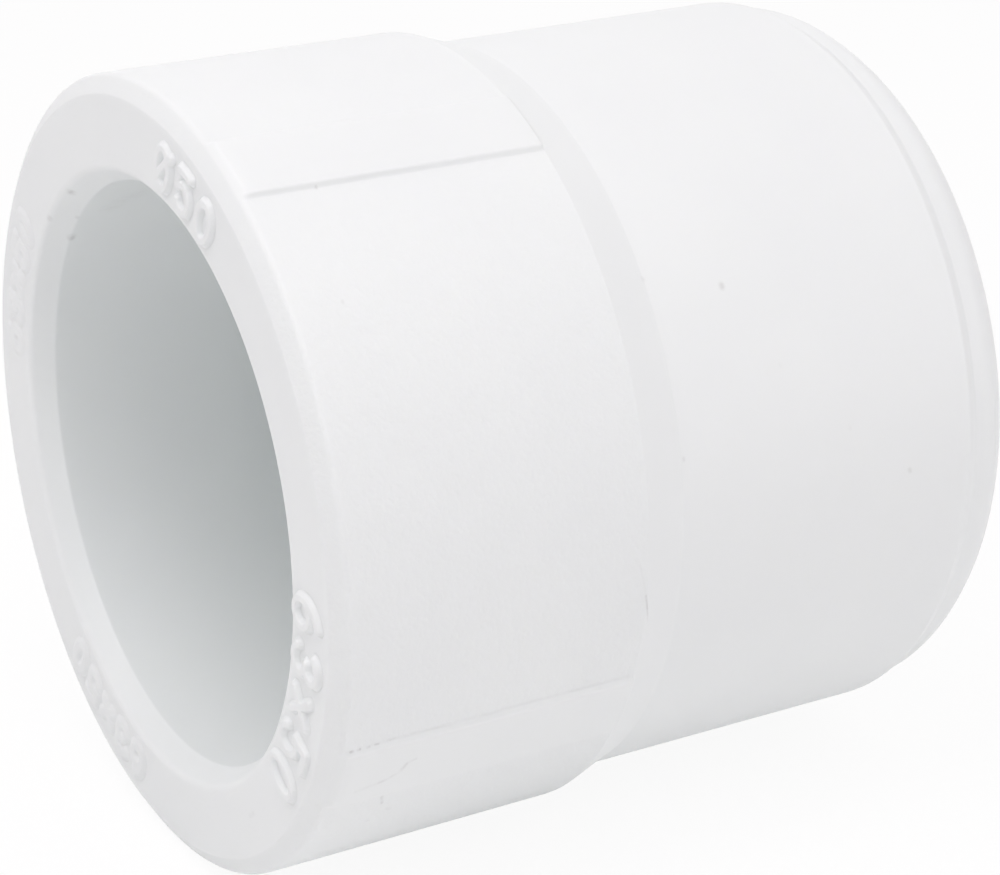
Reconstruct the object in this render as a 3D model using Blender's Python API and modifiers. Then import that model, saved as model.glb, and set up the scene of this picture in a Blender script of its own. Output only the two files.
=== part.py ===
"""Concentric reducer for fusion-welded polypropylene pipe: a 50 mm socket and a 63 mm spigot in one piece.

Units are metres, +Z up. The flow axis lies along +X, from the socket to the spigot, and the origin is on
that axis, half way along the length. Stations along the part are counted from the socket face. Angles about
the axis are counted from straight up towards -Y.
"""
import math

import bmesh
import bpy
from mathutils import Matrix, Vector

MM = 0.001

# Socket, the end that takes the smaller pipe
SOCKET_MOUTH_DIAMETER = 48.7 * MM
SOCKET_ROOT_DIAMETER = 48.3 * MM
SOCKET_DEPTH = 24.0 * MM
SOCKET_WALL = 9.0 * MM
SOCKET_DRAFT = 0.1 * MM
SOCKET_LENGTH = 27.0 * MM
LEAD_IN_DEPTH = 2.0 * MM
LEAD_IN_WIDTH = 1.2 * MM
RIM_CHAMFER_LENGTH = 0.95 * MM
RIM_CHAMFER_WIDTH = 1.55 * MM

# Shoulder between the two diameters
SHOULDER_LENGTH = 4.2 * MM
SHOULDER_TOP_ROUND = 0.4 * MM
SHOULDER_FOOT_ROUND = 1.0 * MM

# Spigot, the end that enters the larger socket
SPIGOT_DIAMETER = 63.2 * MM
SPIGOT_LENGTH = 33.0 * MM
SPIGOT_WALL = 10.6 * MM

# Lead at the spigot's end: a step down, a slight taper and a steeper tip
LEAD_STEP_LENGTH = 1.1 * MM
LEAD_STEP_WIDTH = 0.66 * MM
LEAD_TAPER_LENGTH = 1.88 * MM
LEAD_TAPER_WIDTH = 0.1 * MM
LEAD_TIP_LENGTH = 2.0 * MM
LEAD_TIP_WIDTH = 1.49 * MM
LEAD_BEND_ROUND = 2.0 * MM
LEAD_END_ROUND = 1.5 * MM

# Pipe stop, the inward step at the bottom of the socket
STOP_WIDTH = 4.15 * MM

# Small rounds that the mould leaves on the edges of the faces and of the bore
FACE_EDGE_ROUND = 0.4 * MM
BORE_EDGE_ROUND = 0.6 * MM

# Raised strips along the outside of the socket, for lining up the weld
RIB_COUNT = 4
RIB_WIDTH = 6.34 * MM
RIB_HEIGHT = 0.36 * MM
RIB_SEAT = 1.0 * MM
RIB_NOSE_LENGTH = 1.5 * MM
RIB_TAIL_START = 0.1 * MM
RIB_TAIL_RUNOUT = 0.2 * MM
RIB_TUCK = 0.05 * MM
FIRST_RIB_ANGLE = math.radians(25.4)

# Facets
TURN_STEPS = 72
RIB_STEPS = 3
ROUND_STEPS = 3
MERGE_DISTANCE = 0.00001
SMOOTH_ANGLE = math.radians(25.0)

# Worked out from the sizes above
mouth_radius = SOCKET_MOUTH_DIAMETER / 2
root_radius = SOCKET_ROOT_DIAMETER / 2
stop_radius = root_radius - STOP_WIDTH
socket_front_radius = root_radius + SOCKET_WALL
socket_back_radius = socket_front_radius - SOCKET_DRAFT
rim_radius = socket_front_radius - RIM_CHAMFER_WIDTH
spigot_radius = SPIGOT_DIAMETER / 2
step_radius = spigot_radius - LEAD_STEP_WIDTH
bend_radius = step_radius - LEAD_TAPER_WIDTH
tip_radius = bend_radius - LEAD_TIP_WIDTH
waterway_end_radius = spigot_radius - SPIGOT_WALL
shoulder_foot = SOCKET_LENGTH + SHOULDER_LENGTH
total_length = shoulder_foot + SPIGOT_LENGTH
lead_bend = total_length - LEAD_TIP_LENGTH
step_foot = lead_bend - LEAD_TAPER_LENGTH
lead_start = step_foot - LEAD_STEP_LENGTH


def rounded_corner(before, corner, after, round_radius):
    """The arc that rounds a corner between its neighbours, starting at most a third along either side."""
    back = before - corner
    ahead = after - corner
    half_angle = back.angle(ahead) / 2
    tangent = min(round_radius / math.tan(half_angle), back.length / 3, ahead.length / 3)
    start = corner + back.normalized() * tangent
    end = corner + ahead.normalized() * tangent
    bisector = (back.normalized() + ahead.normalized()).normalized()
    centre = corner + bisector * tangent / math.cos(half_angle)
    first_arm = start - centre
    last_arm = end - centre
    sweep = first_arm.angle(last_arm)
    arc = []
    for step in range(ROUND_STEPS + 1):
        part = sweep * step / ROUND_STEPS
        arm = first_arm * math.sin(sweep - part) + last_arm * math.sin(part)
        arc.append(centre + arm / math.sin(sweep))
    return arc


def rounded_outline(corners):
    """A closed outline through (radius, station, round) corners; a round of zero leaves a corner sharp."""
    places = [Vector((radius, station)) for radius, station, _ in corners]
    points = []
    for index, (_, _, round_radius) in enumerate(corners):
        corner = places[index]
        if round_radius == 0.0:
            points.append(corner)
        else:
            after = places[(index + 1) % len(places)]
            points.extend(rounded_corner(places[index - 1], corner, after, round_radius))
    return points


def body_outline():
    """Half section of the reducer: down the outside from the spigot's end, then up the inside."""
    return rounded_outline([
        (waterway_end_radius, total_length, BORE_EDGE_ROUND),
        (tip_radius, total_length, LEAD_END_ROUND),
        (bend_radius, lead_bend, LEAD_BEND_ROUND),
        (step_radius, step_foot, 0.0),
        (spigot_radius, lead_start, 0.0),
        (spigot_radius, shoulder_foot, SHOULDER_FOOT_ROUND),
        (socket_back_radius, SOCKET_LENGTH, SHOULDER_TOP_ROUND),
        (socket_front_radius, RIM_CHAMFER_LENGTH, 0.0),
        (rim_radius, 0.0, FACE_EDGE_ROUND),
        (mouth_radius + LEAD_IN_WIDTH, 0.0, FACE_EDGE_ROUND),
        (mouth_radius, LEAD_IN_DEPTH, BORE_EDGE_ROUND),
        (root_radius, SOCKET_DEPTH, 0.0),
        (stop_radius, SOCKET_DEPTH, BORE_EDGE_ROUND),
    ])


def rib_outline():
    """Half section of one rib: its nose rises behind the rim chamfer and its tail drops at the shoulder."""
    nose = RIM_CHAMFER_LENGTH
    tail = SOCKET_LENGTH + RIB_TAIL_RUNOUT
    shoulder_slope = (spigot_radius - socket_back_radius) / SHOULDER_LENGTH
    tail_radius = socket_back_radius + shoulder_slope * RIB_TAIL_RUNOUT
    seat_radius = tail_radius - RIB_SEAT
    return [
        Vector((seat_radius, tail)),
        Vector((tail_radius - RIB_TUCK, tail)),
        Vector((socket_back_radius + RIB_HEIGHT, SOCKET_LENGTH - RIB_TAIL_START)),
        Vector((socket_front_radius + RIB_HEIGHT, nose + RIB_NOSE_LENGTH)),
        Vector((socket_front_radius - RIB_TUCK, nose)),
        Vector((seat_radius, nose)),
    ]


def outline_ring(outline):
    """The outline as a closed ring of edges in the XZ plane, with the middle of the part at the origin."""
    bm = bmesh.new()
    ring = [bm.verts.new((point.x, 0.0, point.y - total_length / 2)) for point in outline]
    for index, vert in enumerate(ring):
        bm.edges.new((ring[index - 1], vert))
    return bm


def add_object(name, bm, collection, axis):
    """A mesh object made from the bmesh, carried by the flow axis."""
    mesh = bpy.data.meshes.new(name)
    bm.to_mesh(mesh)
    bm.free()
    piece = bpy.data.objects.new(name, mesh)
    collection.objects.link(piece)
    piece.parent = axis
    return piece


def moulded_plastic():
    """White polypropylene with a satin moulded skin."""
    material = bpy.data.materials.new("white_polypropylene")
    material.use_nodes = True
    shader = material.node_tree.nodes["Principled BSDF"]
    shader.inputs["Base Color"].default_value = (0.86, 0.86, 0.855, 1.0)
    shader.inputs["Roughness"].default_value = 0.42
    shader.inputs["Metallic"].default_value = 0.0
    return material


def make_rib_tool(collection, axis):
    """The ribs as one tool: a rib's section spun through its own width, then copied round the axis."""
    rib_angle = RIB_WIDTH / socket_front_radius
    first_edge = math.pi + FIRST_RIB_ANGLE - rib_angle / 2
    bm = outline_ring(rib_outline())
    bmesh.ops.contextual_create(bm, geom=bm.edges[:])
    bmesh.ops.rotate(bm, verts=bm.verts[:], cent=(0, 0, 0), matrix=Matrix.Rotation(first_edge, 3, "Z"))
    section = bm.verts[:] + bm.edges[:] + bm.faces[:]
    bmesh.ops.spin(bm, geom=section, axis=(0, 0, 1), cent=(0, 0, 0), angle=rib_angle, steps=RIB_STEPS)
    first_rib = bm.verts[:] + bm.edges[:] + bm.faces[:]
    for index in range(1, RIB_COUNT):
        copied = bmesh.ops.duplicate(bm, geom=first_rib)["geom"]
        verts = [item for item in copied if isinstance(item, bmesh.types.BMVert)]
        turn = Matrix.Rotation(index * math.tau / RIB_COUNT, 3, "Z")
        bmesh.ops.rotate(bm, verts=verts, cent=(0, 0, 0), matrix=turn)
    bmesh.ops.recalc_face_normals(bm, faces=bm.faces[:])
    tool = add_object("rib_tool", bm, collection, axis)
    tool.hide_render = True
    tool.display_type = "WIRE"
    return tool


def make_body(collection, axis, rib_tool):
    """The moulding: its half section turned about the flow axis, a facet straight down, and the ribs added."""
    body = add_object("reducer_body", outline_ring(body_outline()), collection, axis)
    body.rotation_euler.z = math.pi / TURN_STEPS
    turn = body.modifiers.new("turn", "SCREW")
    turn.axis = "Z"
    turn.angle = math.tau
    turn.steps = TURN_STEPS
    turn.render_steps = TURN_STEPS
    turn.use_merge_vertices = True
    turn.merge_threshold = MERGE_DISTANCE
    bpy.context.view_layer.update()
    evaluated = body.evaluated_get(bpy.context.evaluated_depsgraph_get())
    turned = bpy.data.meshes.new_from_object(evaluated)
    turned.shade_smooth()
    turned.set_sharp_from_angle(angle=SMOOTH_ANGLE)
    turned.materials.append(moulded_plastic())
    body.modifiers.clear()
    body.data = turned
    join = body.modifiers.new("join_ribs", "BOOLEAN")
    join.operation = "UNION"
    join.solver = "EXACT"
    join.object = rib_tool
    return body


def main():
    for old in list(bpy.data.objects):
        bpy.data.objects.remove(old, do_unlink=True)
    parts = bpy.data.collections.new("concentric_reducer")
    tools = bpy.data.collections.new("reducer_tools")
    bpy.context.scene.collection.children.link(parts)
    bpy.context.scene.collection.children.link(tools)
    axis = bpy.data.objects.new("flow_axis", None)
    axis.rotation_euler.y = math.pi / 2
    parts.objects.link(axis)
    make_body(parts, axis, make_rib_tool(tools, axis))


main()
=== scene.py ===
"""Looks of a concentric pipe reducer moulded in white polypropylene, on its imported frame.

The flow axis is +X, from the socket face to the spigot's end, with the origin half way along it and +Z up.
A point of the moulding is given by its radius, its station along the axis from the socket face, and its
angle about the axis from straight up towards -Y. Sizes are in millimetres until a mesh is made.
"""

import math

import bpy
import numpy as np
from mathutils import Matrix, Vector


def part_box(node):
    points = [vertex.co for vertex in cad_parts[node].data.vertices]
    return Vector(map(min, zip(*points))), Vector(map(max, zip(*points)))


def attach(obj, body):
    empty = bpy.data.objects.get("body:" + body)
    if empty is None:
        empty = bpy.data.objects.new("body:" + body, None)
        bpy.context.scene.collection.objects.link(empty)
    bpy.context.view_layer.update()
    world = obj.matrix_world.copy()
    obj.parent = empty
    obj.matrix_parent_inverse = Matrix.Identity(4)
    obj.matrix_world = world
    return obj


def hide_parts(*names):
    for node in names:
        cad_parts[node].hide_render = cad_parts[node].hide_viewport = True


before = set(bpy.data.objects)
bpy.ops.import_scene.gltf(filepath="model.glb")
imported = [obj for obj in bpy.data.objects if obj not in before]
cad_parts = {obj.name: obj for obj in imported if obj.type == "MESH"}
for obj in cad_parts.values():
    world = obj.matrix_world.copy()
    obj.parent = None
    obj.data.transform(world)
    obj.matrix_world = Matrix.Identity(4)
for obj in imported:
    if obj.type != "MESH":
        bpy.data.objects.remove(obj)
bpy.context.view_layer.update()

MM = 0.001
BODY_NODE = "reducer_body"
node_low, node_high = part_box(BODY_NODE)
LENGTH = (node_high.x - node_low.x) / MM

# Socket
MOUTH_RADIUS = 24.35
ROOT_RADIUS = 24.15
SOCKET_DEPTH = 24.0
SOCKET_LENGTH = 27.0
PANEL_FRONT_RADIUS = 33.15
PANEL_BACK_RADIUS = 33.05
RIM_RADIUS = 31.6
RIM_CHAMFER_LENGTH = 0.95
LEAD_IN_DEPTH = 2.0
LEAD_IN_WIDTH = 1.2
STOP_WIDTH = 4.15

# Shoulder and spigot
SHOULDER_LENGTH = 4.2
SPIGOT_RADIUS = 31.6
SPIGOT_WALL = 10.6
LEAD_START = 4.98
LEAD_STEP_LENGTH = 1.1
LEAD_STEP_WIDTH = 0.66
LEAD_BEND = 2.0
LEAD_BEND_WIDTH = 0.76
TIP_WIDTH = 2.25

# Rounds of the moulded edges
WATERWAY_END_ROUND = 0.6
SPIGOT_TIP_ROUND = 1.5
LEAD_BEND_ROUND = 4.0
LEAD_FOOT_ROUND = 0.7
LEAD_EDGE_ROUND = 0.7
SHOULDER_FOOT_ROUND = 1.0
SHOULDER_TOP_ROUND = 0.4
PANEL_FRONT_ROUND = 0.7
RIM_ROUND = 0.4
LEAD_IN_FACE_ROUND = 0.8
MOUTH_ROUND = 0.5
STOP_ROOT_ROUND = 0.3
STOP_EDGE_ROUND = 0.6

# Raised strips along the outside of the socket
RIB_COUNT = 4
FIRST_RIB_ANGLE = math.radians(25.4)
RIB_WIDTH = 6.34
RIB_HEIGHT = 0.38
RIB_WALL_RUN = 0.56
RIB_WALL_STEEPEST = 0.55
RIB_NOSE = (0.85, 1.7)
RIB_TAIL = (26.9, 27.07)

# Fineness of the turned surface
ARC_STEPS = 8
ARC_LONGEST_SHARE = 0.45
ARC_PROGRESS = 0.25
ROW_STEP = 1.0
SUPPORT_STEP = 0.2
PANEL_COLUMNS = 20
WALL_COLUMNS = 16
RIB_COLUMNS = 5

# Numerals moulded on the socket face: text, middle angle, capital height, relief and half width at the foot
FACE_MARKS = {
    "size_mark_top": ("Ø50", 18.9, 3.4, 0.42, 0.62),
    "size_mark_right": ("63×50", 108.0, 3.8, 0.42, 0.62),
    "size_mark_bottom": ("63×50", -156.5, 2.9, 0.24, 0.95),
    "size_mark_left": ("63×50", -71.0, 2.7, 0.20, 0.95),
}
MARK_RADIUS = 28.5
MARK_CORE = 0.22
MARK_SEAT = 0.02
MARK_ROOT = 0.4
MARK_STEP = 0.08
MARK_HIDDEN_SHARE = 0.9
GLYPH_WIDTH = 0.62
GLYPH_PITCH = 1.1
GLYPH_ARC_STEPS = 24

# Dust, scratches and a painted shade line, partly dirt, in the crease at the lower rib's foot: radius,
# station and angle at the start and at the end, half width and darkness
DUST_MARKS_AND_CREASE_SHADE = (
    (SPIGOT_RADIUS, (37.9, 55.3), (37.9, 55.7), 0.42, 0.22),
    (SPIGOT_RADIUS, (31.1, 52.2), (31.2, 52.4), 0.32, 0.10),
    (SPIGOT_RADIUS, (31.4, 78.3), (31.4, 78.6), 0.25, 0.12),
    (SPIGOT_RADIUS, (53.0, 87.8), (53.1, 88.1), 0.32, 0.14),
    (SPIGOT_RADIUS, (41.4, 68.1), (41.4, 68.4), 0.28, 0.06),
    (SPIGOT_RADIUS, (47.2, 79.2), (47.2, 79.5), 0.30, 0.05),
    (SPIGOT_RADIUS, (44.0, -118.2), (44.0, -118.5), 0.30, 0.12),
    (SPIGOT_RADIUS, (36.3, 171.0), (36.4, 171.3), 0.26, 0.10),
    (PANEL_FRONT_RADIUS, (5.2, 48.3), (5.2, 48.6), 0.20, 0.12),
    (PANEL_FRONT_RADIUS, (16.0, -102.0), (16.1, -102.3), 0.22, 0.10),
    (PANEL_FRONT_RADIUS, (7.1, 30.9), (7.1, 31.2), 0.22, 0.26),
    (PANEL_FRONT_RADIUS, (1.8, 109.8), (2.0, 109.8), 0.20, 0.36),
    (PANEL_FRONT_RADIUS, (2.4, 109.8), (2.6, 109.7), 0.18, 0.34),
    (PANEL_FRONT_RADIUS, (3.2, 109.8), (3.4, 109.7), 0.18, 0.28),
    (PANEL_FRONT_RADIUS, (3.9, 109.6), (4.2, 109.6), 0.16, 0.22),
    (PANEL_FRONT_RADIUS, (5.2, 109.5), (5.6, 109.4), 0.16, 0.18),
    # Painted shade, partly dirt: a thin dark line all along the crease at the foot of the lower rib, where
    # shade falls
    (PANEL_FRONT_RADIUS, (5.0, 109.4), (26.5, 109.4), 0.24, 0.06),
    (PANEL_FRONT_RADIUS, (6.1, 122.2), (6.4, 124.2), 0.24, 0.22),
    (PANEL_FRONT_RADIUS, (7.2, 126.3), (7.5, 126.7), 0.30, 0.12),
    (PANEL_FRONT_RADIUS, (5.8, 128.5), (6.0, 128.9), 0.26, 0.12),
    (33.5, (3.0, 117.8), (4.9, 117.2), 0.30, 0.07),
    (33.5, (4.9, 117.2), (5.5, 116.9), 0.30, 0.14),
    (33.5, (5.5, 116.9), (6.6, 115.9), 0.28, 0.10),
    (33.5, (6.6, 115.8), (7.0, 114.5), 0.30, 0.16),
    (33.5, (7.0, 114.5), (7.7, 114.0), 0.26, 0.08),
    (33.0, (26.2, 91.2), (26.9, 96.0), 0.16, 0.07),
    (33.0, (26.9, 96.0), (27.5, 100.5), 0.18, 0.26),
    (MARK_RADIUS, (0.0, 141.6), (0.0, 143.4), 0.35, 0.09),
    (25.2, (0.5, -36.4), (0.5, -36.0), 0.62, 0.34),
    (25.6, (0.2, -48.5), (0.2, -48.1), 0.42, 0.20),
    (24.3, (2.1, -52.3), (2.1, -51.9), 0.60, 0.32),
    (24.3, (1.8, -45.0), (1.8, -44.6), 0.36, 0.20),
    (24.3, (4.6, -42.0), (6.4, -37.0), 1.60, 0.06),
)
MARK_BREAK_SIZE = 0.6
MARK_BREAK_RANGE = (0.35, 0.6)
MARK_BREAK_LEAST = 0.35
# Colour of the dust and scratches, and of the painted crease shade
GRIME_AND_SHADE_COLOUR = "#7E7C7A"

# Plastic: its two whites, the sizes of its clouds and of its uneven gloss, and how deep light enters
PLASTIC_WHITES = ("#E2E7E7", "#E6EBEA")
CLOUD_SIZE = 14.0
HANDLING_SIZE = 4.0
GLOSS_SPREAD = 0.05
LIGHT_DEPTH = 0.8
RELIEF_DETAIL = 2.0
RELIEF_ROUGHNESS = 0.55

# Mould walls: roughness that they leave, and size and depth of their relief
MOULD_WALLS = {
    "polypropylene_polished_mould": (0.42, 1.6, 0.004),
    "polypropylene_spark_eroded_mould": (0.55, 0.42, 0.075),
    "polypropylene_core_pin": (0.45, 2.5, 0.004),
    "polypropylene_turned_mould": (0.5, 1.2, 0.006),
}

# Distances from the parting line between which the relief deepens, and its share on the line
PARTING_FADE = (15.0, 28.0)
PARTING_SHARE = 0.2

# Camera, fitted to the edges of the part in the photograph
CAMERA_PLACE = (-125.97, -217.93, 98.30)
CAMERA_TURN = (68.131, 0.0, -30.199)
CAMERA_LENS = 112.87
CAMERA_SENSOR = 36.0

# Studio: floor, an even sky that is darker behind the camera, and softboxes with their places and watts
FLOOR_SIZE = 2400.0
FLOOR_COLOUR = "#FBFBFB"
FLOOR_WHITE_SHARE = 0.92
LIGHT_COLOUR = "#FFF9FB"
SKY_STRENGTH = 0.675
SOFTBOX_SIZE = 500.0
SOFTBOXES = {
    "key_high_left": ((-300.0, 0.0, 520.0), 1.78),
    "fill_high_front": ((0.0, -280.0, 540.0), 1.35),
    "card_low_left": ((-330.0, -470.0, 60.0), 0.73),
    "card_low_right": ((330.0, -480.0, 60.0), 0.70),
}


def corner_arc(before, corner, after, round_radius):
    """Arc of one rounded corner: the arms from its centre to its two tangent points, blended by sines."""
    back = before - corner
    ahead = after - corner
    back_length = np.linalg.norm(back)
    ahead_length = np.linalg.norm(ahead)
    back = back / back_length
    ahead = ahead / ahead_length
    half_angle = math.acos(float(np.clip(back @ ahead, -1.0, 1.0))) / 2
    longest = ARC_LONGEST_SHARE * min(back_length, ahead_length)
    tangent = min(round_radius / math.tan(half_angle), longest)
    bisector = (back + ahead) / np.linalg.norm(back + ahead)
    centre = corner + bisector * tangent / math.cos(half_angle)
    first_arm = corner + back * tangent - centre
    last_arm = corner + ahead * tangent - centre
    sweep = math.pi - 2 * half_angle
    part = sweep * np.linspace(0.0, 1.0, ARC_STEPS + 1)[:, None]
    return centre + (first_arm * np.sin(sweep - part) + last_arm * np.sin(part)) / math.sin(sweep)


def straight_stretch(start, end):
    """Points between two arcs: one close to each arc, to keep the shading flat, and even steps between."""
    length = np.linalg.norm(end - start)
    support = min(SUPPORT_STEP, length / 3)
    count = max(2, int(math.ceil((length - 2 * support) / ROW_STEP)) + 1)
    along = np.linspace(support, length - support, count) / length
    return start + (end - start) * along[:, None]


def half_section(corners):
    """Closed half section through named (radius, station, round) corners.

    Returns the points as (radius, station) rows and how far round each one is, counted in corners: a whole
    number is the middle of that corner's arc, and a half is the middle of a straight stretch.
    """
    values = np.array(list(corners.values()))
    places = values[:, :2]
    befores = np.roll(places, 1, axis=0)
    afters = np.roll(places, -1, axis=0)
    arcs = [corner_arc(*row) for row in zip(befores, places, afters, values[:, 2])]
    points = []
    progress = []
    for index, arc in enumerate(arcs):
        stretch = straight_stretch(arc[-1], arcs[(index + 1) % len(arcs)][0])
        points += [arc, stretch]
        progress.append(index + np.linspace(-ARC_PROGRESS, ARC_PROGRESS, len(arc)))
        progress.append(index + np.linspace(ARC_PROGRESS, 1.0 - ARC_PROGRESS, len(stretch) + 2)[1:-1])
    return np.concatenate(points), np.concatenate(progress)


def smooth_step(low, high, value):
    """0 below low and 1 above high, with an S-shaped rise between them."""
    share = np.clip((value - low) / (high - low), 0.0, 1.0)
    return share * share * (3.0 - 2.0 * share)


def body_corners():
    """Corners of the moulding: over the end face, down the outside, across the face and up the inside."""
    shoulder_foot = SOCKET_LENGTH + SHOULDER_LENGTH
    lead_start = LENGTH - LEAD_START
    lead_radius = SPIGOT_RADIUS - LEAD_STEP_WIDTH
    lead_in_radius = MOUTH_RADIUS + LEAD_IN_WIDTH
    return {
        "waterway_end": (SPIGOT_RADIUS - SPIGOT_WALL, LENGTH, WATERWAY_END_ROUND),
        "spigot_tip": (SPIGOT_RADIUS - TIP_WIDTH, LENGTH, SPIGOT_TIP_ROUND),
        "lead_bend": (SPIGOT_RADIUS - LEAD_BEND_WIDTH, LENGTH - LEAD_BEND, LEAD_BEND_ROUND),
        "lead_foot": (lead_radius, lead_start + LEAD_STEP_LENGTH, LEAD_FOOT_ROUND),
        "lead_edge": (SPIGOT_RADIUS, lead_start, LEAD_EDGE_ROUND),
        "shoulder_foot": (SPIGOT_RADIUS, shoulder_foot, SHOULDER_FOOT_ROUND),
        "shoulder_top": (PANEL_BACK_RADIUS, SOCKET_LENGTH, SHOULDER_TOP_ROUND),
        "panel_front": (PANEL_FRONT_RADIUS, RIM_CHAMFER_LENGTH, PANEL_FRONT_ROUND),
        "rim": (RIM_RADIUS, 0.0, RIM_ROUND),
        "lead_in_face": (lead_in_radius, 0.0, LEAD_IN_FACE_ROUND),
        "mouth": (MOUTH_RADIUS, LEAD_IN_DEPTH, MOUTH_ROUND),
        "stop_root": (ROOT_RADIUS, SOCKET_DEPTH, STOP_ROOT_ROUND),
        "stop_edge": (ROOT_RADIUS - STOP_WIDTH, SOCKET_DEPTH, STOP_EDGE_ROUND),
    }


def rib_columns():
    """Angles of one rib's share of the turn, from its middle, and the share of the rib's height there.

    A rib's wall falls from its flat top to the panel in two parabolas, a long one that rounds the top edge
    and a short one at the foot. They meet where the wall is steepest, and the rib's width is measured there.
    """
    top_edge = RIB_WIDTH / 2 - RIB_WALL_STEEPEST * RIB_WALL_RUN
    foot = top_edge + RIB_WALL_RUN
    half_share = math.pi / RIB_COUNT * PANEL_FRONT_RADIUS
    top = np.linspace(0.0, top_edge, RIB_COLUMNS, endpoint=False)
    wall = np.linspace(top_edge, foot, WALL_COLUMNS, endpoint=False)
    panel = np.linspace(foot, half_share, PANEL_COLUMNS)
    across = np.concatenate([top, wall, panel])
    down = np.clip((across - top_edge) / RIB_WALL_RUN, 0.0, 1.0)
    rounded_top = 1.0 - down ** 2 / RIB_WALL_STEEPEST
    hollow_foot = (1.0 - down) ** 2 / (1.0 - RIB_WALL_STEEPEST)
    share = np.where(down < RIB_WALL_STEEPEST, rounded_top, hollow_foot)
    both_sides = np.concatenate([-across[:0:-1], across[:-1]])
    both_shares = np.concatenate([share[:0:-1], share[:-1]])
    return both_sides / PANEL_FRONT_RADIUS, both_shares


def turned_points(radius, station, angle):
    """Points at a radius, a station and an angle about the axis, as x, y, z."""
    radius, station, angle = np.broadcast_arrays(radius, station, angle)
    return np.stack([station - LENGTH / 2, -radius * np.sin(angle), radius * np.cos(angle)], axis=-1)


def mesh_piece(name, points, quads, materials, finish=None):
    """A smooth mesh object from points in millimetres and quads, riding on the part's one body."""
    mesh = bpy.data.meshes.new(name)
    mesh.vertices.add(len(points))
    mesh.vertices.foreach_set("co", (points * MM).astype(np.float32).ravel())
    mesh.loops.add(quads.size)
    mesh.loops.foreach_set("vertex_index", quads.astype(np.int32).ravel())
    mesh.polygons.add(len(quads))
    mesh.polygons.foreach_set("loop_start", np.arange(0, quads.size, 4, dtype=np.int32))
    for material in materials:
        mesh.materials.append(material)
    if finish is not None:
        mesh.polygons.foreach_set("material_index", finish.astype(np.int32).ravel())
    mesh.update(calc_edges=True)
    mesh.shade_smooth()
    piece = bpy.data.objects.new(name, mesh)
    bpy.context.scene.collection.objects.link(piece)
    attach(piece, "root")
    return piece


def make_body(polished, grained, cored, faced):
    """The moulding: its half section turned about the flow axis, with the ribs added to its radius.

    A rib adds its height times two shares: one along the axis, from its nose to its tail, and one across
    it, from wall to wall. Ribs are polished, and the panels between them are grained.
    """
    finishes = [polished, grained, cored, faced]
    on_polished, on_grained, on_cored, on_faced = range(len(finishes))
    corners = body_corners()
    number = {name: index for index, name in enumerate(corners)}
    section, progress = half_section(corners)
    radius, station = section.T
    outside = (progress > number["spigot_tip"]) & (progress < number["rim"])
    rib_length = smooth_step(*RIB_NOSE, station) * (1.0 - smooth_step(*RIB_TAIL, station)) * outside
    offsets, rib_across = rib_columns()
    turns = FIRST_RIB_ANGLE + math.tau / RIB_COUNT * np.arange(RIB_COUNT)
    angle = (turns[:, None] + offsets).ravel()
    rib_across = np.tile(rib_across, RIB_COUNT)
    on_rib = np.maximum(rib_across, np.roll(rib_across, -1)) > 0.0
    surface_radius = radius[:, None] + RIB_HEIGHT * rib_length[:, None] * rib_across
    points = turned_points(surface_radius, station[:, None], angle).reshape(-1, 3)
    index = np.arange(len(points)).reshape(len(radius), len(angle))
    below = np.roll(index, -1, axis=0)
    quads = np.stack([index, below, np.roll(below, -1, axis=1), np.roll(index, -1, axis=1)], axis=-1)
    lead_in_middle = (number["lead_in_face"] + number["mouth"]) / 2
    row_finish = np.select(
        [progress < number["shoulder_top"], progress < number["rim"], progress < lead_in_middle],
        [on_polished, on_grained, on_faced],
        default=on_cored,
    )[:, None]
    finish = np.where((row_finish == on_grained) & on_rib, on_polished, row_finish)
    piece = mesh_piece("moulded_body", points, quads.reshape(-1, 4), finishes, finish)
    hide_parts(BODY_NODE)
    return piece


def glyph_arc(middle_x, middle_y, wide, high, start, end):
    """Points round an ellipse between two angles, in degrees from its right, anticlockwise."""
    angle = np.radians(np.linspace(start, end, GLYPH_ARC_STEPS + 1))
    return np.stack([middle_x + wide * np.cos(angle), middle_y + high * np.sin(angle)], axis=1)


def glyph_strokes(character):
    """Middle lines of a character's strokes, in a box as high as 1 and as wide as GLYPH_WIDTH."""
    middle = GLYPH_WIDTH / 2
    oval = glyph_arc(middle, 0.5, middle, 0.5, 0, 360)
    strokes = {
        "0": [oval],
        "Ø": [oval, np.array([(-0.02, 0.16), (GLYPH_WIDTH + 0.04, 0.92)])],
        "3": [
            glyph_arc(middle, 0.75, 0.9 * middle, 0.25, 160, -90),
            glyph_arc(middle, 0.26, middle, 0.26, 90, -160),
        ],
        "5": [
            np.array([(0.9 * GLYPH_WIDTH, 1.0), (0.14 * GLYPH_WIDTH, 1.0), (0.06 * GLYPH_WIDTH, 0.54)]),
            glyph_arc(middle, 0.33, middle, 0.33, 140, -150),
        ],
        "6": [
            glyph_arc(middle, 0.32, middle, 0.32, 0, 360),
            glyph_arc(2 * middle, 0.32, 2 * middle, 0.68, 180, 108),
        ],
        "×": [
            np.array([(0.0, 0.16), (GLYPH_WIDTH, 0.78)]),
            np.array([(0.0, 0.78), (GLYPH_WIDTH, 0.16)]),
        ],
    }
    return strokes[character]


def stroke_distance(points, starts, ends):
    """Distance from each point to the nearest of many segments, with the foot held between their ends."""
    along = ends - starts
    arm = points[:, None, :] - starts
    share = np.clip((arm * along).sum(axis=2) / (along * along).sum(axis=1), 0.0, 1.0)
    return np.linalg.norm(arm - share[:, :, None] * along, axis=2).min(axis=1)


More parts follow.
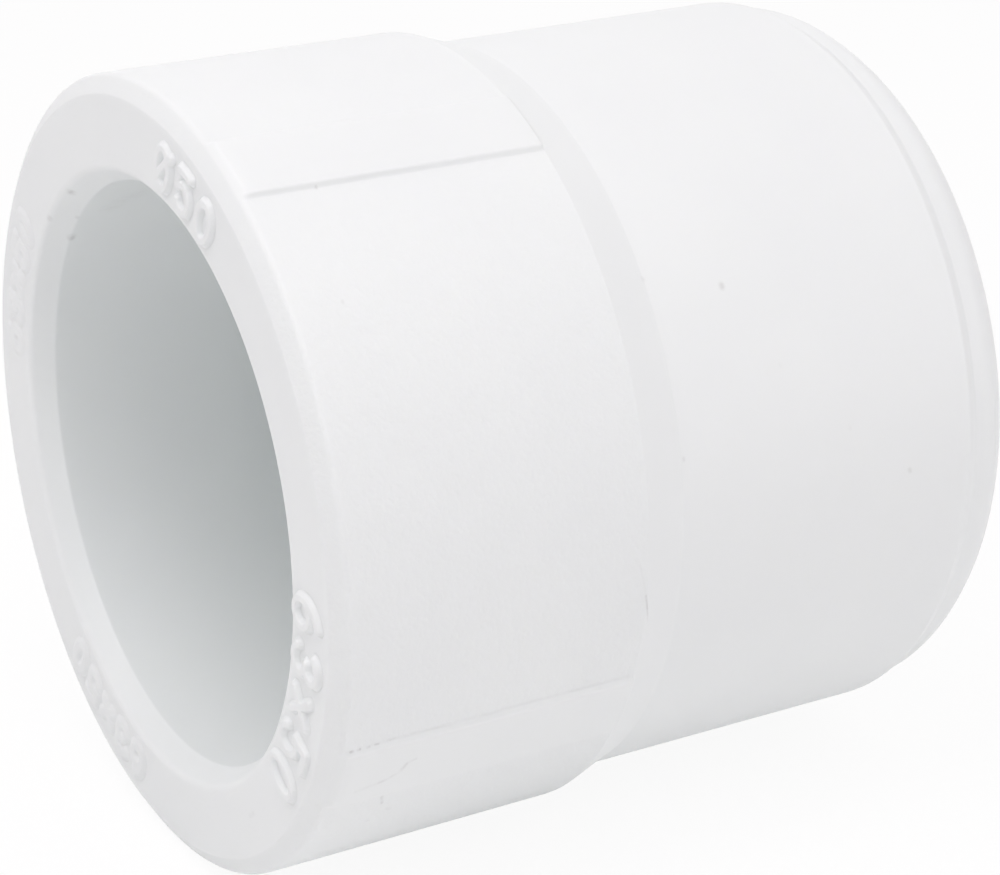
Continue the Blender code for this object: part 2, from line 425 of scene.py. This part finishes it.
def make_face_mark(name, text, middle_angle, height, relief, half_width, material):
    """Raised numerals on the socket face, as a height field over a grid along and across the ring.

    The height falls with an S-shaped slope from the middle line of the nearest stroke. Cells that stay under
    the face are left out, and the rest get a floor inside the wall and sides, which close each stroke.
    """
    advance = GLYPH_PITCH * height
    length = advance * (len(text) - 1) + GLYPH_WIDTH * height
    lines = []
    for place, character in enumerate(text):
        for stroke in glyph_strokes(character):
            lines.append(stroke * height + (place * advance - length / 2, -height / 2))
    starts = np.concatenate([line[:-1] for line in lines])
    ends = np.concatenate([line[1:] for line in lines])
    margin = 2 * half_width
    along = np.arange(-length / 2 - margin, length / 2 + margin, MARK_STEP)
    across = np.arange(-height / 2 - margin, height / 2 + margin, MARK_STEP)
    grid_along, grid_across = np.meshgrid(along, across, indexing="ij")
    grid = np.stack([grid_along.ravel(), grid_across.ravel()], axis=1)
    away = stroke_distance(grid, starts, ends).reshape(grid_along.shape)
    raised = relief * (1.0 - smooth_step(MARK_CORE, half_width, away)) - MARK_SEAT
    angle = math.radians(middle_angle) + grid_along / MARK_RADIUS
    radius = MARK_RADIUS + grid_across
    top = turned_points(radius, -raised, angle).reshape(-1, 3)
    floor = turned_points(radius, np.full_like(raised, MARK_ROOT), angle).reshape(-1, 3)
    index = np.arange(raised.size).reshape(raised.shape)
    cell_height = np.maximum.reduce([raised[:-1, :-1], raised[1:, :-1], raised[1:, 1:], raised[:-1, 1:]])
    shown = np.pad(cell_height > -MARK_HIDDEN_SHARE * MARK_SEAT, 1)
    cells = np.stack([index[:-1, :-1], index[1:, :-1], index[1:, 1:], index[:-1, 1:]], axis=-1)
    inner = shown[1:-1, 1:-1]
    quads = [cells[inner], cells[inner][:, ::-1] + raised.size]
    neighbours = {
        (0, 1): shown[1:-1, :-2],
        (1, 2): shown[2:, 1:-1],
        (2, 3): shown[1:-1, 2:],
        (3, 0): shown[:-2, 1:-1],
    }
    for (first, second), beside in neighbours.items():
        edge = cells[inner & ~beside]
        start = edge[:, first]
        end = edge[:, second]
        quads.append(np.stack([end, start, start + raised.size, end + raised.size], axis=1))
    quads = np.concatenate(quads)
    used, compact = np.unique(quads, return_inverse=True)
    points = np.concatenate([top, floor])[used]
    return mesh_piece(name, points, compact.reshape(-1, 4), [material])


def colour(hex_value):
    """A linear RGBA colour from an sRGB hex value."""
    levels = np.array([int(hex_value[place:place + 2], 16) for place in (1, 3, 5)]) / 255
    linear = np.where(levels <= 0.04045, levels / 12.92, ((levels + 0.055) / 1.055) ** 2.4)
    return (*linear.tolist(), 1.0)


def add_node(tree, kind, settings=None, links=None):
    """Adds a node, sets its properties and sockets by name or number, and links outputs to its inputs."""
    node = tree.nodes.new(kind)
    for name, value in (settings or {}).items():
        if isinstance(name, str) and hasattr(node, name):
            setattr(node, name, value)
        else:
            node.inputs[name].default_value = value
    for name, source in (links or {}).items():
        tree.links.new(source, node.inputs[name])
    return node


def dust_marks_and_crease_shade(tree, place):
    """How dark the dust, the scratches and the painted crease shade are at a place: the darkest of many
    marks, broken up by a fine noise.

    A mark runs from one point to another and fades from its middle line. The distance to that line is the
    length from the place to its foot there, which is the arm's share along the line, held between 0 and 1.
    """
    darkest = None
    for radius, start_place, end_place, half_width, darkness in DUST_MARKS_AND_CREASE_SHADE:
        station, degrees = np.array([start_place, end_place]).T
        start, end = turned_points(radius, station, np.radians(degrees)) * MM
        along = Vector(end - start)
        arm = add_node(
            tree, "ShaderNodeVectorMath", {"operation": "SUBTRACT", 1: start}, {0: place}
        ).outputs[0]
        per_length = along / along.length_squared
        share = add_node(
            tree, "ShaderNodeVectorMath", {"operation": "DOT_PRODUCT", 1: per_length}, {0: arm}
        ).outputs["Value"]
        held = add_node(tree, "ShaderNodeClamp", None, {"Value": share}).outputs[0]
        foot = add_node(
            tree, "ShaderNodeVectorMath", {"operation": "SCALE", 0: along}, {"Scale": held}
        ).outputs[0]
        away = add_node(
            tree, "ShaderNodeVectorMath", {"operation": "DISTANCE"}, {0: arm, 1: foot}
        ).outputs["Value"]
        mark = add_node(
            tree,
            "ShaderNodeMapRange",
            {"interpolation_type": "SMOOTHSTEP", 1: 0.0, 2: half_width * MM, 3: darkness, 4: 0.0},
            {0: away},
        ).outputs[0]
        if darkest is None:
            darkest = mark
        else:
            darkest = add_node(
                tree, "ShaderNodeMath", {"operation": "MAXIMUM"}, {0: darkest, 1: mark}
            ).outputs[0]
    flecks = add_node(
        tree, "ShaderNodeTexNoise", {"Scale": 1 / (MARK_BREAK_SIZE * MM)}, {"Vector": place}
    ).outputs["Fac"]
    low, high = MARK_BREAK_RANGE
    kept = add_node(
        tree, "ShaderNodeMapRange", {1: low, 2: high, 3: MARK_BREAK_LEAST, 4: 1.0}, {0: flecks}
    ).outputs[0]
    return add_node(tree, "ShaderNodeMath", {"operation": "MULTIPLY"}, {0: darkest, 1: kept}).outputs[0]


def moulded_polypropylene(name, roughness, relief_size, relief_depth):
    """White PP-R copolymer as it leaves the mould, with the relief of one kind of mould wall.

    It is a soft, slightly cool white that lets a little light in, with faint clouds from the flow of the
    melt, a few dark specks of dust, a painted shade line in the crease at the lower rib's foot, and a satin
    gloss that varies with handling.
    mould wall's grain size, a little coarser than on the real wall so that it shows in the render. It is
    shallower towards the mould's parting line, along the top and the bottom, where the wall slides out.
    """
    material = bpy.data.materials.new(name)
    material.use_nodes = True
    tree = material.node_tree
    shader = tree.nodes["Principled BSDF"]
    shader.inputs["IOR"].default_value = 1.49
    shader.inputs["Subsurface Weight"].default_value = 0.2
    shader.inputs["Subsurface Radius"].default_value = (1.0, 1.0, 0.9)
    shader.inputs["Subsurface Scale"].default_value = LIGHT_DEPTH * MM
    place = add_node(tree, "ShaderNodeTexCoord").outputs["Object"]
    clouds = add_node(
        tree, "ShaderNodeTexNoise", {"Scale": 1 / (CLOUD_SIZE * MM), "Detail": 2.0}, {"Vector": place}
    ).outputs["Fac"]
    dull, bright = [colour(white) for white in PLASTIC_WHITES]
    white = add_node(
        tree, "ShaderNodeMix", {"data_type": "RGBA", 6: dull, 7: bright}, {0: clouds}
    ).outputs[2]
    # Base colour darkened by the dust, the scratches and the painted shade in the lower rib's foot crease
    soiled_and_shaded = add_node(
        tree,
        "ShaderNodeMix",
        {"data_type": "RGBA", 7: colour(GRIME_AND_SHADE_COLOUR)},
        {0: dust_marks_and_crease_shade(tree, place), 6: white},
    ).outputs[2]
    tree.links.new(soiled_and_shaded, shader.inputs["Base Color"])
    handling = add_node(
        tree, "ShaderNodeTexNoise", {"Scale": 1 / (HANDLING_SIZE * MM), "Detail": 3.0}, {"Vector": place}
    ).outputs["Fac"]
    gloss = add_node(
        tree,
        "ShaderNodeMapRange",
        {3: roughness - GLOSS_SPREAD, 4: roughness + GLOSS_SPREAD},
        {0: handling},
    ).outputs[0]
    tree.links.new(gloss, shader.inputs["Roughness"])
    relief = add_node(
        tree,
        "ShaderNodeTexNoise",
        {"Scale": 1 / (relief_size * MM), "Detail": RELIEF_DETAIL, "Roughness": RELIEF_ROUGHNESS},
        {"Vector": place},
    ).outputs["Fac"]
    sides = add_node(tree, "ShaderNodeSeparateXYZ", None, {0: place}).outputs["Y"]
    off_parting_line = add_node(tree, "ShaderNodeMath", {"operation": "ABSOLUTE"}, {0: sides}).outputs[0]
    near, far = PARTING_FADE
    depth = add_node(
        tree,
        "ShaderNodeMapRange",
        {"interpolation_type": "SMOOTHSTEP", 1: near * MM, 2: far * MM, 3: PARTING_SHARE, 4: 1.0},
        {0: off_parting_line},
    ).outputs[0]
    bump = add_node(
        tree, "ShaderNodeBump", {"Distance": relief_depth * MM}, {"Height": relief, "Strength": depth}
    ).outputs["Normal"]
    tree.links.new(bump, shader.inputs["Normal"])
    return material


def camera_ray_share(tree, share):
    """The share of plain white that camera, glossy and transmitted rays see; other rays see none of it."""
    rays = add_node(tree, "ShaderNodeLightPath").outputs
    shiny = add_node(
        tree,
        "ShaderNodeMath",
        {"operation": "MAXIMUM"},
        {0: rays["Is Glossy Ray"], 1: rays["Is Transmission Ray"]},
    ).outputs[0]
    seen = add_node(
        tree, "ShaderNodeMath", {"operation": "MAXIMUM"}, {0: rays["Is Camera Ray"], 1: shiny}
    ).outputs[0]
    return add_node(tree, "ShaderNodeMath", {"operation": "MULTIPLY", 1: share}, {0: seen}).outputs[0]


def make_floor():
    """A pale floor under the part, which keeps a faint shadow in front of a white background."""
    material = bpy.data.materials.new("matt_white_paper_sweep")
    material.use_nodes = True
    tree = material.node_tree
    tree.nodes.remove(tree.nodes["Principled BSDF"])
    paper = add_node(tree, "ShaderNodeBsdfDiffuse", {"Color": colour(FLOOR_COLOUR)}).outputs[0]
    white = add_node(tree, "ShaderNodeEmission", {"Strength": 1.0}).outputs[0]
    share = camera_ray_share(tree, FLOOR_WHITE_SHARE)
    mixed = add_node(tree, "ShaderNodeMixShader", None, {0: share, 1: paper, 2: white}).outputs[0]
    tree.links.new(mixed, tree.nodes["Material Output"].inputs["Surface"])
    half = FLOOR_SIZE / 2
    ground = float(node_low.z) / MM
    sides = np.array([(-1, -1), (1, -1), (1, 1), (-1, 1)]) * half
    points = np.column_stack([sides, np.full(4, ground)])
    mesh = bpy.data.meshes.new("floor")
    mesh.from_pydata((points * MM).tolist(), [], [(0, 1, 2, 3)])
    mesh.materials.append(material)
    floor = bpy.data.objects.new("floor", mesh)
    bpy.context.scene.collection.objects.link(floor)


def make_sky():
    """Soft light from all round, falling away behind the camera, and plain white past the floor's edge."""
    world = bpy.data.worlds.new("studio")
    bpy.context.scene.world = world
    world.use_nodes = True
    tree = world.node_tree
    direction = add_node(tree, "ShaderNodeTexCoord").outputs["Generated"]
    facing = add_node(
        tree,
        "ShaderNodeVectorMath",
        {"operation": "DOT_PRODUCT", 1: Vector(CAMERA_PLACE).normalized()},
        {0: direction},
    ).outputs["Value"]
    strength = add_node(
        tree,
        "ShaderNodeMapRange",
        {"interpolation_type": "SMOOTHSTEP", 3: SKY_STRENGTH, 4: 0.0},
        {0: facing},
    ).outputs[0]
    tree.nodes["Background"].inputs["Color"].default_value = colour(LIGHT_COLOUR)
    tree.links.new(strength, tree.nodes["Background"].inputs["Strength"])
    light = tree.nodes["Background"].outputs[0]
    white = add_node(tree, "ShaderNodeBackground", {"Color": colour("#FFFFFF"), "Strength": 1.0}).outputs[0]
    share = camera_ray_share(tree, 1.0)
    mixed = add_node(tree, "ShaderNodeMixShader", None, {0: share, 1: light, 2: white}).outputs[0]
    tree.links.new(mixed, tree.nodes["World Output"].inputs["Surface"])


def make_softbox(name, place, power):
    """A square area lamp at a place in millimetres, turned to the part."""
    lamp = bpy.data.lights.new(name, "AREA")
    lamp.shape = "SQUARE"
    lamp.size = SOFTBOX_SIZE * MM
    lamp.energy = power
    lamp.color = colour(LIGHT_COLOUR)[:3]
    softbox = bpy.data.objects.new(name, lamp)
    softbox.location = Vector(place) * MM
    softbox.visible_camera = False
    softbox.rotation_euler = (-softbox.location).to_track_quat("-Z", "Y").to_euler()
    bpy.context.scene.collection.objects.link(softbox)


def make_camera():
    """The camera of the photograph, in the part's own frame."""
    lens = bpy.data.cameras.new("photo_camera")
    lens.lens = CAMERA_LENS
    lens.sensor_width = CAMERA_SENSOR
    lens.sensor_fit = "HORIZONTAL"
    lens.clip_start = 0.01
    camera = bpy.data.objects.new("photo_camera", lens)
    camera.location = Vector(CAMERA_PLACE) * MM
    camera.rotation_euler = [math.radians(turn) for turn in CAMERA_TURN]
    bpy.context.scene.collection.objects.link(camera)
    bpy.context.scene.camera = camera


bpy.context.scene.view_settings.view_transform = "Standard"
make_camera()
make_floor()
make_sky()
for name, (place, power) in SOFTBOXES.items():
    make_softbox(name, place, power)

polished, grained, cored, faced = [moulded_polypropylene(name, *wall) for name, wall in MOULD_WALLS.items()]

make_body(polished, grained, cored, faced)
for name, mark in FACE_MARKS.items():
    make_face_mark(name, *mark, faced)
